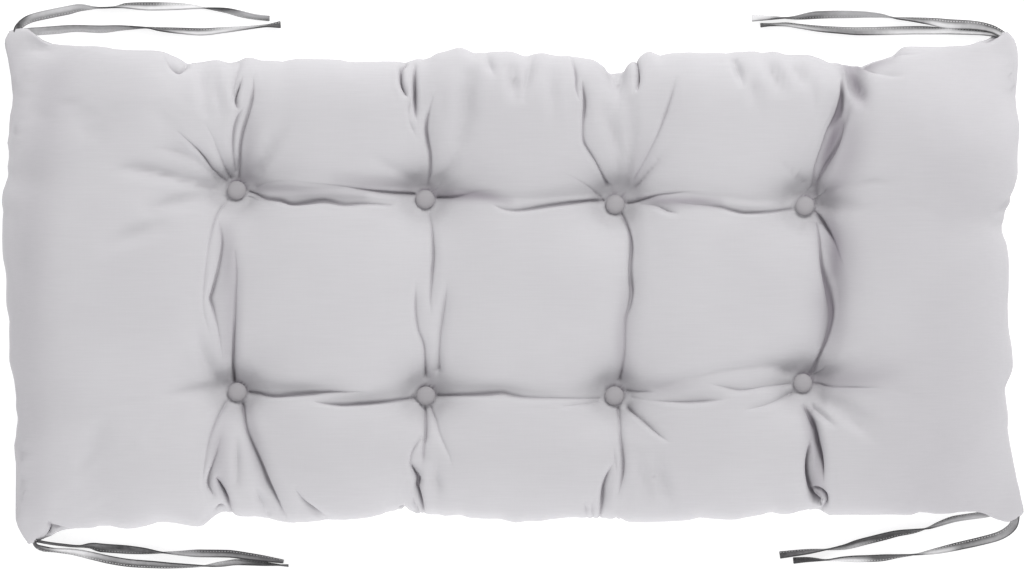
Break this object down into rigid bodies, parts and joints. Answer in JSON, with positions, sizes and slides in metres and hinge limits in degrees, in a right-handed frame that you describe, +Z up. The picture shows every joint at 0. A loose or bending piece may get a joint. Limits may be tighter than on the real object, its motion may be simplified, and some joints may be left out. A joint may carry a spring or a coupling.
{
  "type": "climbing arch cushion",
  "caption": "Long rectangular tufted floor cushion with deep covered-button tufts, soft folds and a pair of tie tapes at each corner for fastening it to a climbing arch.",
  "frame": {"origin": "on the floor under the middle of the cushion and its ties", "axes": "+X along the cushion's length, +Y across it towards the far long edge, +Z up out of the buttoned face"},
  "size_m": [1.0213, 0.569, 0.0858],
  "materials": {
    "cover_cloth": "matt woven cloth",
    "button_cloth": "matt woven cloth stretched over a button",
    "tie_cloth": "matt folded cloth tape"
  },
  "bodies": {
    "root": {"cushion": "cover_cloth", "button_far_1": "button_cloth", "button_far_2": "button_cloth", "button_far_3": "button_cloth", "button_far_4": "button_cloth", "button_near_1": "button_cloth", "button_near_2": "button_cloth", "button_near_3": "button_cloth", "button_near_4": "button_cloth", "tie_far_left_outer": "tie_cloth", "tie_far_left_inner": "tie_cloth", "tie_far_right_outer": "tie_cloth", "tie_far_right_inner": "tie_cloth", "tie_near_left_outer": "tie_cloth", "tie_near_left_inner": "tie_cloth", "tie_near_right_outer": "tie_cloth", "tie_near_right_inner": "tie_cloth"}
  },
  "joints": []
}
